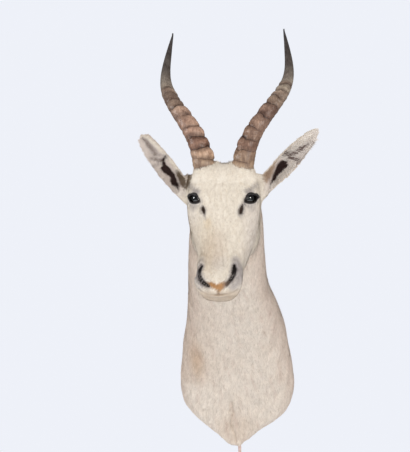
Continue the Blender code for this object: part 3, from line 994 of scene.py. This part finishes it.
def scatter(mesh, count, share):
    """Random places on the skin, in (x, depth, height), with normals; share weighs faces."""
    mesh.calc_loop_triangles()
    tris = np.empty(len(mesh.loop_triangles) * 3, np.int64)
    mesh.loop_triangles.foreach_get("vertices", tris)
    tris = tris.reshape(-1, 3)
    points, normals = points_of(mesh), normals_of(mesh)
    a, b, c = points[tris[:, 0]], points[tris[:, 1]], points[tris[:, 2]]
    area = np.linalg.norm(np.cross(b - a, c - a), axis=1) / 2
    weight = area * share((a + b + c) / 3, unit(normals[tris].mean(1)))
    picks = rng.choice(len(tris), count, p=weight / weight.sum())
    r1, r2 = np.sqrt(rng.random(count)), rng.random(count)
    shares = np.column_stack([1 - r1, r1 * (1 - r2), r1 * r2])[:, :, None]
    return (points[tris[picks]] * shares).sum(1), unit((normals[tris[picks]] * shares).sum(1))


def flow(points, normals):
    """The way the coat lies at each point, as unit directions in the skin."""
    x, depth, height = points.T
    ones = np.ones(len(x))
    head = (step(-10, 25, depth - 300 + 0.3 * (height - 210)) * step(80, 120, height))[:, None]
    crown = step(345, 385, height)[:, None]
    down = np.column_stack([0.28 * np.tanh(x / 30), -0.10 * ones, -ones])
    face = np.column_stack([0.25 * np.tanh(x / 40), 0.30 * ones, -ones])
    up = np.column_stack([0.7 * np.tanh(x / 20), -0.6 * ones, 0.6 * ones])
    way = down * (1 - head) + (face * (1 - crown) + up * crown) * head
    return unit(across_rows(way, normals))


def hug(points, tree):
    """Each point moved onto the skin."""
    out = np.empty_like(points)
    for i, p in enumerate(world(points)):
        out[i] = tree.find_nearest(p)[0]
    return out / AXES


def blade_mesh(name, corners):
    """Three triangles for each hair, from its two root points, two half way and one tip."""
    count = len(corners)
    pattern = np.array([[0, 1, 3], [0, 3, 2], [2, 3, 4]])
    faces = (np.arange(count)[:, None, None] * 5 + pattern[None]).reshape(-1, 3)
    mesh = bpy.data.meshes.new(name)
    mesh.vertices.add(count * 5)
    mesh.vertices.foreach_set("co", world(corners.reshape(-1, 3)).ravel())
    mesh.loops.add(len(faces) * 3)
    mesh.loops.foreach_set("vertex_index", faces.ravel())
    mesh.polygons.add(len(faces))
    mesh.polygons.foreach_set("loop_start", np.arange(0, len(faces) * 3, 3))
    mesh.update(calc_edges=True)
    return mesh


def blades(name, roots, normals, ways, length, width, lift, colour, tone, material, tree=None,
           hugging=slice(None)):
    """Flat tapering hairs; with a tree of the skin, those hugging it follow its surface."""
    half = roots + ways * (length * 0.5)[:, None]
    tips = roots + ways * length[:, None]
    if tree is not None:
        half[hugging], tips[hugging] = hug(half[hugging], tree), hug(tips[hugging], tree)
    half = half + normals * (lift * 0.42)[:, None]
    tips = tips + normals * lift[:, None]
    side = unit(np.cross(tips - roots, normals)) * (width * 0.5)[:, None]
    low = roots - normals * 0.3
    corners = np.stack([low - side, low + side, half - side * 0.9, half + side * 0.9, tips], 1)
    corners[:, :, 1] = np.maximum(corners[:, :, 1], WALL_CLEARANCE)
    mesh = blade_mesh(name, corners)
    write_attribute(mesh, "coat", np.repeat(colour, 5, axis=0))
    write_attribute(mesh, "tone", np.repeat(tone, 5))
    return finish_object(name, mesh, material)


def tree_of(obj):
    mesh = obj.data
    return BVHTree.FromPolygons([v.co for v in mesh.vertices],
                                [tuple(p.vertices) for p in mesh.polygons])


def coat_hair(name, skin, share, length, material, tree, seed, count, width, lift, curl):
    """One layer of the coat; curl goes from 0 for straight hairs to 1 for swirls in every direction."""
    count = count
    roots, normals = scatter(skin.data, count, share)
    ways = flow(roots, normals)
    turn = 0.30 * waves(roots * (1, 1, 0.4), 26, seed) + 0.16 * rng.normal(size=count)
    turn = turn + curl * 0.8 * waves(roots, 11, seed + 2, 9)
    ways = unit(ways + np.cross(normals, ways) * turn[:, None])
    size = length(roots) * rng.uniform(0.7, 1.2, count)
    grain = waves(roots * (1, 1, 0.16 + 0.5 * curl), 4.5 + 2 * curl, seed + 1)
    tone = np.clip(0.5 + 0.18 * rng.normal(size=count) + 0.20 * grain, 0, 1)
    return blades(name, roots, normals, ways, size, width * rng.uniform(0.7, 1.2, count),
                  lift * rng.uniform(0.5, 1.3, count), coat(roots, normals), tone, material, tree)


def lay(skin, side, count, share, way, size, width, lift, colour):
    """Hairs of one kind on an ear; way, share and colour are functions of place."""
    roots, normals = scatter(skin.data, count, share)
    across = EARS[side][3] * np.sign(ear_place(roots, side)[1])[:, None]
    ways = way(across) + 0.16 * rng.normal(size=(count, 3))
    ways = unit(ways - 0.8 * (ways - across_rows(ways, normals)))
    return [roots, normals, ways, size * rng.uniform(0.6, 1.15, count),
            width * rng.uniform(0.6, 1.2, count), lift * rng.uniform(0.4, 1.3, count),
            colour(roots, normals), np.clip(0.55 + 0.2 * rng.normal(size=count), 0, 1)]


def ear_fuzz(skin, side):
    return lay(skin, side, FUZZ_COUNT, lambda p, n: on_ear(p, side),
               lambda across: EARS[side][1] + 0.25 * across, 5.0, 0.8, 0.7, coat)


def ear_fringe(skin, side):
    """Pale hairs that point outwards along the ear's rim."""
    return lay(skin, side, FRINGE_COUNT,
               lambda p, n: on_ear(p, side) * step(0.80, 0.92, np.abs(ear_place(p, side)[1])),
               lambda across: 0.9 * EARS[side][1] + 0.8 * across, 5.5, 0.8, 0.2,
               lambda p, n: np.tile(np.multiply(TUFTS[side], FRINGE_TONE), (len(p), 1)))


def ear_tuft(skin, side, t0, t1, u0, u1, ahead, over, size, lift, dark):
    """Long hairs that lie in the hollow, some of them dark beside the streaks."""
    _, along, facing, across, _ = EARS[side]

    def share(points, normals):
        t, u, _ = ear_place(points, side)
        inner = step(-0.2, 0.2, normals @ facing) * on_ear(points, side)
        inner = inner * (outline_gap(ear_flat(t, u), ear_line(side, EAR_HOLLOW)) > 0)
        return inner * (t > t0) * (t < t1) * (u > u0) * (u < u1)

    def shade(points, normals):
        flat = ear_flat(*ear_place(points, side)[:2])
        gap = np.minimum(line_distance(flat, ear_line(side, EAR_STREAK))[0],
                         line_distance(flat, ear_line(side, EAR_SMUDGE))[0])
        brown = rng.random(len(points)) < dark * (1 - step(0.5, 7.0, gap))
        mixed = np.maximum(0.55 - 0.2 * side, root_share(points, side))
        pale = blend(np.tile(TUFTS[side], (len(points), 1)), coat(points, normals), mixed)
        return np.where(brown[:, None], np.array(EAR_BROWN), pale)

    count = int(TUFT_COUNT * (t1 - t0) * (u1 - u0) * 4)
    return lay(skin, side, count, share, lambda _: along * ahead + across * over, size, 0.7, lift, shade)


def ear_hair(side, skin, material, tree):
    """Fuzz over the ear, a pale fringe round its rim, and the long tufts that lie in the hollow."""
    batches = [ear_fuzz(skin, side), ear_fringe(skin, side)]
    batches += [ear_tuft(skin, side, *row) for row in EAR_TUFTS[side]]
    joined = [np.concatenate(rows) for rows in zip(*batches)]
    return blades("ear_hair_" + TAGS[side], *joined, material, tree, np.arange(FUZZ_COUNT))


def crown_hair(skin, material):
    """Longer hairs that climb over the horns' bases, and the dark tuft between them."""
    bases = [horn_line("horn_" + tag, 40)[0][:14] for tag in TAGS.values()]

    def near_horns(points, normals):
        weight = np.zeros(len(points))
        high = np.flatnonzero(points[:, 2] > 372)
        gap = np.min([np.linalg.norm(points[high, None] - base[None], axis=2).min(1) for base in bases], axis=0)
        weight[high] = step(36, 24, gap) * (1 - ear_share(points[high]))
        return weight

    roots, normals = scatter(skin.data, CROWN_COUNT, near_horns)
    ways = unit(np.array((0, -0.35, 1.0)) + 0.25 * rng.normal(size=(CROWN_COUNT, 3)))
    ways = unit(ways - normals * np.maximum((ways * normals).sum(1), 0)[:, None] * 0.7)
    dark = np.linalg.norm((roots - (2, 334, 402)) / (14, 14, 12), axis=1) < rng.uniform(0.3, 1.1, CROWN_COUNT)
    colour = np.where(dark[:, None], np.array(CROWN_DARK), coat(roots, normals))
    size = rng.uniform(4, 8, CROWN_COUNT) * np.where(dark, 0.8, 1.0)
    lift = rng.uniform(0.2, 1.2, CROWN_COUNT)
    tone = np.clip(0.5 + 0.2 * rng.normal(size=CROWN_COUNT), 0, 1)
    return blades("crown_hair", roots, normals, ways, size, np.full(CROWN_COUNT, 0.65), lift, colour,
                  tone, material)


def off_eyes(points):
    """0 where the eyes' openings and their lids are, 1 elsewhere."""
    clear = np.ones(len(points))
    for side in TAGS:
        close, _, gap = lid_gap(points, side)
        clear[close[gap < 2.2]] = 0
    return clear


def off_features(points):
    """0 in the nostrils, the glands, the mouth line and the nose patch, 1 elsewhere."""
    x, depth, height = points.T
    flat = points[:, [0, 2]]
    clear = np.ones(len(points))
    for side in TAGS:
        here = side * x > -6
        nostril = line_gap(flat, NOSTRILS[side], NOSTRIL_WIDTHS[side]) < 0.3
        gland = line_gap(flat, GLANDS[side], GLAND_WIDTHS[side]) < 0.0
        clear *= ~(here & (nostril & (depth > 372) | gland))
    lip, _ = line_distance(flat, LIP_LINE)
    wide = np.abs(x - 2)
    clear *= ~((lip < 7.0 - 4.6 * step(9, 18, wide)) & (wide < 34) & (depth > 380))
    return clear * ~((outline_gap(flat, NOSE_PATCH) < 3.0) & (depth > 400))


def on_body(points, normals):
    return (points[:, 1] > 4) * (points[:, 1] < 335) * (1 - ear_share(points)) * off_eyes(points)


def on_face(points, normals):
    share = (points[:, 1] >= 300) * (1 - ear_share(points)) * off_eyes(points)
    front = np.flatnonzero(points[:, 1] > 330)
    share[front] *= off_features(points[front])
    return share


def neck_length(points):
    return np.full(len(points), NECK_LENGTH)


def face_length(points):
    """Long hairs on the forehead and jaw, short ones on the muzzle, shorter ones by the mouth."""
    muzzle = step(385, 415, points[:, 1])
    lip = muzzle * step(158, 148, points[:, 2])
    return FACE_LENGTH + (MUZZLE_LENGTH - FACE_LENGTH) * muzzle + (LIP_LENGTH - MUZZLE_LENGTH) * lip


# Horns

def horn_line(node, count):
    """Centre, radius and length so far along a horn, read from its solid."""
    points = points_of(NODES[node].data)
    heights = np.linspace(points[:, 2].min() + 3, points[:, 2].max() - 0.5, HORN_CUTS)
    weight = np.exp(-((points[:, 2][None] - heights[:, None]) / 7.0) ** 2)
    centre = weight @ points / weight.sum(1)[:, None]
    centre[-1] = points[np.argmax(points[:, 2])]
    gap = np.linalg.norm(points[:, None] - centre[None], axis=2)
    nearest, reach = gap.argmin(1), gap.min(1)
    weight = np.exp(-((nearest[None] - np.arange(HORN_CUTS)[:, None]) / 2.2) ** 2)
    radius = weight @ reach / weight.sum(1)
    lengths = np.concatenate([[0], np.cumsum(np.linalg.norm(np.diff(centre, axis=0), axis=1))])
    where = np.linspace(0, lengths[-1], count)
    line = np.column_stack([np.interp(where, lengths, centre[:, k]) for k in range(3)])
    return line, np.interp(where, lengths, radius), where


def ring_relief(where, side):
    """Height of the ridges at each place along the horn, their fade, and which ridge it is."""
    places = np.array(RING_PLACES[side], float)
    own = np.random.default_rng(50 + side)
    edges = np.concatenate([[places[0] - 16], (places[1:] + places[:-1]) / 2, [places[-1] + 8]])
    k = np.clip(np.searchsorted(edges, where) - 1, 0, len(places) - 1)
    share = np.clip((where - edges[k]) / (edges[k + 1] - edges[k]), 0, 1)
    lean = own.uniform(0.75, 1.5, len(places))[k]
    sharp = own.uniform(0.32, 0.8, len(places))[k]
    high = own.uniform(0.65, 1.2, len(places))[k]
    crest = high * np.sin(math.pi * share ** lean) ** sharp
    fade = step(edges[-1], edges[-1] - 14, where) * step(-6, 12, where)
    return crest * fade, fade, k


def horn_waves(spots, side):
    """Broad waves, knobs and fine fibres over the horn, one row for each step along it."""
    kinds = ((1, 30, 60, 7), (1, 9, 70, 11), (0.35, 3.2, 80, 11))
    return [waves(spots * (1, 1, squeeze), size, seed + side, count).reshape(HORN_STEPS, HORN_SIDES)
            for squeeze, size, seed, count in kinds]


def write_horn_tints(mesh, places, crest, fade, knobs, wobble, strength, tint):
    """Place along the horn, depth between the ridges, and each ridge's own tint. The depth between the ridges
    becomes painted highlights on the crests and painted shade in the grooves.
    """
    painted_ridge_light = PLAIN_CREST + (crest - 0.5) * (0.35 + 0.65 * strength) + 0.05 * knobs
    painted_ridge_light = np.clip(painted_ridge_light * fade + PLAIN_CREST * (1 - fade), 0, 1)
    write_attribute(mesh, "along", np.repeat(places, HORN_SIDES))
    write_attribute(mesh, "crest", painted_ridge_light.ravel())
    write_attribute(mesh, "tint", (0.5 + (tint - 0.5) * fade + 0.15 * wobble).ravel())


def build_horn(node, side, material):
    line, radius, where = horn_line(node, HORN_STEPS)
    tangent = unit(np.gradient(line, axis=0))
    outward = unit(across_rows(np.tile((side * 1.0, -0.35, 0.0), (HORN_STEPS, 1)), tangent))
    around = np.cross(tangent, outward)
    circle = outward[:, None] * np.cos(TURN)[:, :, None] + around[:, None] * np.sin(TURN)[:, :, None]
    spots = line[:, None] + circle * radius[:, None, None]
    wobble, knobs, fine = horn_waves(spots.reshape(-1, 3), side)
    front = 0.5 - 0.5 * np.cos(TURN)
    bend = where[:, None] + 6.0 * (front - 0.5) + 2.5 * np.sin(TURN) + 3.6 * wobble + 0.5 * knobs
    crest, fade, ring = ring_relief(bend, side)
    strength = 0.16 + 0.84 * front ** 0.7
    rough = fade * (0.75 * knobs + 0.30 * fine) + (1 - fade) * 0.08 * fine
    relief = RIDGE_HEIGHT * strength * (crest - 0.45 * fade) + rough
    reach = radius[:, None] + np.minimum(1, radius / 12)[:, None] * relief
    vertices, faces = tube(world(line[:, None] + circle * reach[:, :, None]))
    made = object_from(node + "_sheath", vertices, faces, material)
    tint = np.random.default_rng(90 + side).random(16)[ring]
    write_horn_tints(made.data, where / where[-1], crest, fade, knobs, wobble, strength, tint)
    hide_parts(node)
    return made


# Eyes

def build_eye(side, material):
    """A glass ball with its front slightly bulged, and an oval iris behind it."""
    centre, gaze, outward, up, radius = EYES[side]
    bm = bmesh.new()
    bmesh.ops.create_uvsphere(bm, u_segments=56, v_segments=48, radius=1.0)
    mesh = bpy.data.meshes.new("eyeball_" + TAGS[side])
    bm.to_mesh(mesh)
    bm.free()
    local = read_rows(mesh, "co")
    theta = np.arccos(np.clip(local[:, 2], -1, 1))
    reach = local * (radius * (1 + CORNEA_BULGE * np.exp(-(theta / 0.5) ** 2)) - 0.1)[:, None]
    move_points(mesh, centre + reach @ np.array([outward, up, gaze]))
    face_outwards(mesh)
    made = finish_object(mesh.name, mesh, material)
    wide = np.hypot(local[:, 0] / IRIS_SIZE[0], local[:, 1] / IRIS_SIZE[1])
    write_attribute(mesh, "ring", np.where(local[:, 2] > 0, np.clip(wide * 0.46, 0, 1), 1))
    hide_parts("eye_" + TAGS[side])
    return made


def over_eye(side, flat, tree):
    """Points over the eye at places outwards and up: on the skin, or on the ball if that is higher."""
    centre, gaze, outward, up, radius = EYES[side]
    reach = np.zeros(len(flat))
    for k, (a, b) in enumerate(flat):
        reach[k] = math.sqrt(max(0.0, radius ** 2 - a * a - b * b))
        start = centre + outward * a + up * b
        hit = tree.ray_cast(Vector(world(start + gaze * 45)), Vector(unit(world(-gaze))))[0]
        if hit is not None:
            reach[k] = max(reach[k], (np.array(hit) / AXES - start) @ gaze)
    for _ in range(6):
        reach = (np.roll(reach, 1) + 2 * reach + np.roll(reach, -1)) / 4
    return centre + outward * flat[:, :1] + up * flat[:, 1:2] + gaze * reach[:, None]


def build_lid(side, material, line):
    """A rounded rim along the line of the eye's opening."""
    centre, gaze = EYES[side][:2]
    tangent = unit(np.roll(line, -1, axis=0) - np.roll(line, 1, axis=0))
    out = unit(across_rows(unit(unit(line - centre) + gaze), tangent))
    across = np.cross(tangent, out)
    turns = np.linspace(0, 2 * math.pi, LID_SIDES, endpoint=False)
    rings = [world([spot + thick * (o * (0.25 + 0.75 * math.cos(turn)) + w * math.sin(turn)) for turn in turns])
             for spot, o, w, thick in zip(line, out, across, LID_LOOP[:, 2])]
    vertices, faces = tube(rings, closed=True)
    made = object_from("eyelid_" + TAGS[side], vertices, faces, material)
    face_outwards(made.data)
    return made


def build_lashes(side, material, line):
    """A row of short dark hairs along the upper lid."""
    _, gaze, outward, up, _ = EYES[side]
    picks = rng.choice(np.flatnonzero(LID_LOOP[:, 1] > 3.0), LASH_COUNT)
    roots = line[picks] + rng.normal(0, 0.5, (LASH_COUNT, 3)) + gaze * 1.4
    spread = LID_LOOP[picks, 0][:, None] / 16
    ways = unit(gaze * 0.55 + outward * (0.25 + 0.9 * spread) + up * rng.uniform(-0.35, 0.25, (LASH_COUNT, 1)))
    size = rng.uniform(3.5, 6.5, LASH_COUNT)
    normals = unit(np.cross(ways, np.cross(up, ways)))
    same = np.ones(LASH_COUNT)
    return blades("lashes_" + TAGS[side], roots, normals, ways, size, 0.55 * same, -0.8 * same,
                  np.outer(same, np.multiply(DARK, 1.6)), 0.5 * same, material)


# Camera, light and floor

def place_camera():
    data = bpy.data.cameras.new("camera")
    data.sensor_fit = "HORIZONTAL"
    data.sensor_width = SENSOR
    data.lens = FOCAL_PIXELS * SENSOR / IMAGE[0]
    data.clip_end = 50
    camera = bpy.data.objects.new("camera", data)
    camera.location = world(EYE_POINT)
    camera.rotation_euler = (math.pi / 2, 0, math.radians(YAW))
    bpy.context.scene.collection.objects.link(camera)
    bpy.context.scene.camera = camera


def area_light(name, place, size, watts, colour):
    data = bpy.data.lights.new(name, "AREA")
    data.shape = "DISK"
    data.size = size
    data.energy = watts
    data.color = colour
    light = bpy.data.objects.new(name, data)
    light.location = world(place)
    way = Vector(world(LIGHT_TARGET)) - light.location
    light.rotation_euler = way.to_track_quat("-Z", "Y").to_euler()
    bpy.context.scene.collection.objects.link(light)


def make_sky():
    """A pale background, and a soft light all round that glossy surfaces hardly see."""
    made = bpy.data.worlds.new("studio")
    made.use_nodes = True
    tree = made.node_tree
    back = tree.nodes["Background"]
    back.inputs["Color"].default_value = (*WALL_WHITE, 1)
    ray = add_node(tree, "ShaderNodeLightPath")
    dim = add_node(tree, "ShaderNodeMapRange", {"Value": ray.outputs["Is Glossy Ray"],
                                                "To Min": SKY_STRENGTH, "To Max": SKY_IN_GLOSS})
    soft = add_node(tree, "ShaderNodeBackground", {"Color": (*SKY, 1), "Strength": dim.outputs["Result"]})
    mixed = add_node(tree, "ShaderNodeMixShader", {0: ray.outputs["Is Camera Ray"], 1: soft.outputs[0],
                                                   2: back.outputs[0]})
    tree.links.new(mixed.outputs[0], tree.nodes["World Output"].inputs["Surface"])
    bpy.context.scene.world = made


def light_scene():
    make_sky()
    bpy.context.scene.view_settings.view_transform = "Standard"
    for light in LIGHTS:
        area_light(*light)


def place_floor():
    bpy.ops.mesh.primitive_plane_add(size=FLOOR_SIZE, location=(0, 0, FLOOR_HEIGHT * MM))
    floor = bpy.context.object
    floor.name = "floor"
    floor.data.materials.append(floor_material())


def attach(piece):
    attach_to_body(piece, "root")


def build_head(skin, hair, tree):
    """Horns, eyes, lids, lashes and the ears' hair, side by side."""
    keratin, glass = horn_material(), eye_material()
    lid = grained_material("eyelid", 0.42, 0.4, {"scale": 800.0}, (0.012, 0.010, 0.010),
                           (0.040, 0.032, 0.030), 0.6, 0.0004)
    for side, tag in TAGS.items():
        attach(build_horn("horn_" + tag, side, keratin))
        attach(build_eye(side, glass))
        line = over_eye(side, LID_LOOP[:, :2], tree)
        attach(build_lid(side, lid, line))
        attach(build_lashes(side, hair, line))
        attach(ear_hair(side, skin, hair, tree))


def build_coat(skin, hair, tree):
    attach(crown_hair(skin, hair))
    for k in range(2):
        attach(coat_hair(f"neck_hair_{k + 1}", skin, on_body, neck_length, hair, tree, 20 + k, **NECK_HAIR))
    attach(coat_hair("face_hair", skin, on_face, face_length, hair, tree, 30, **FACE_HAIR))


def finish_nodes():
    """Materials for the solids that stay."""
    steel = steel_material()
    strip = grained_material("hide_strip", 0.7, 0.3, {"scale": 500.0, "stretch": (1, 1, 0.25)},
                             (0.50, 0.34, 0.29), (0.70, 0.54, 0.48), 0.5, 0.0006)
    finishes = {"backboard": wood_material(), "hanger": steel, "hanger_screw_left": steel,
                "hanger_screw_right": steel, "hide_strip": strip}
    for name, finish in finishes.items():
        NODES[name].data.materials[0] = finish


place_camera()
light_scene()
place_floor()
SKIN = build_skin(hide_material())
attach(SKIN)
SKIN_TREE = tree_of(SKIN)
HAIR = hair_material()
build_head(SKIN, HAIR, SKIN_TREE)
build_coat(SKIN, HAIR, SKIN_TREE)
finish_nodes()
